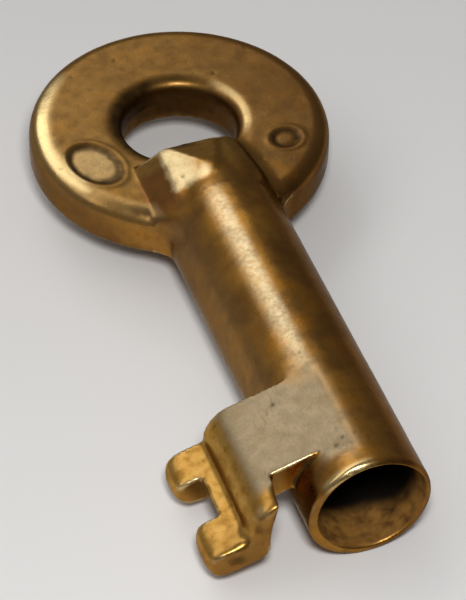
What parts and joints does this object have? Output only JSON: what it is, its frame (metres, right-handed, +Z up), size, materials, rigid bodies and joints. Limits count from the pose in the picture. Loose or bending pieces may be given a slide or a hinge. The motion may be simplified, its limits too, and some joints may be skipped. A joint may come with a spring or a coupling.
{
  "type": "railroad switch key",
  "caption": "Worn brass railroad switch key: a round bow with a ring hole, a tapered neck, a hollow barrel that goes over a lock's post, and a bent, notched bit.",
  "frame": {"origin": "centre of the barrel's mouth, on the axis of the bore", "axes": "+Y along the barrel towards the bow, +Z up out of the bow's face, -X towards the bit"},
  "size_m": [0.0254, 0.0572, 0.0098],
  "materials": {
    "bow": "worn, golden brown with a dark patina in the hollows",
    "barrel": "worn, brown, pitted, with rubbed rims",
    "bit": "rubbed bright, scratched"
  },
  "bodies": {
    "root": {"bow": "bow", "barrel": "barrel", "bit": "bit"}
  },
  "joints": []
}
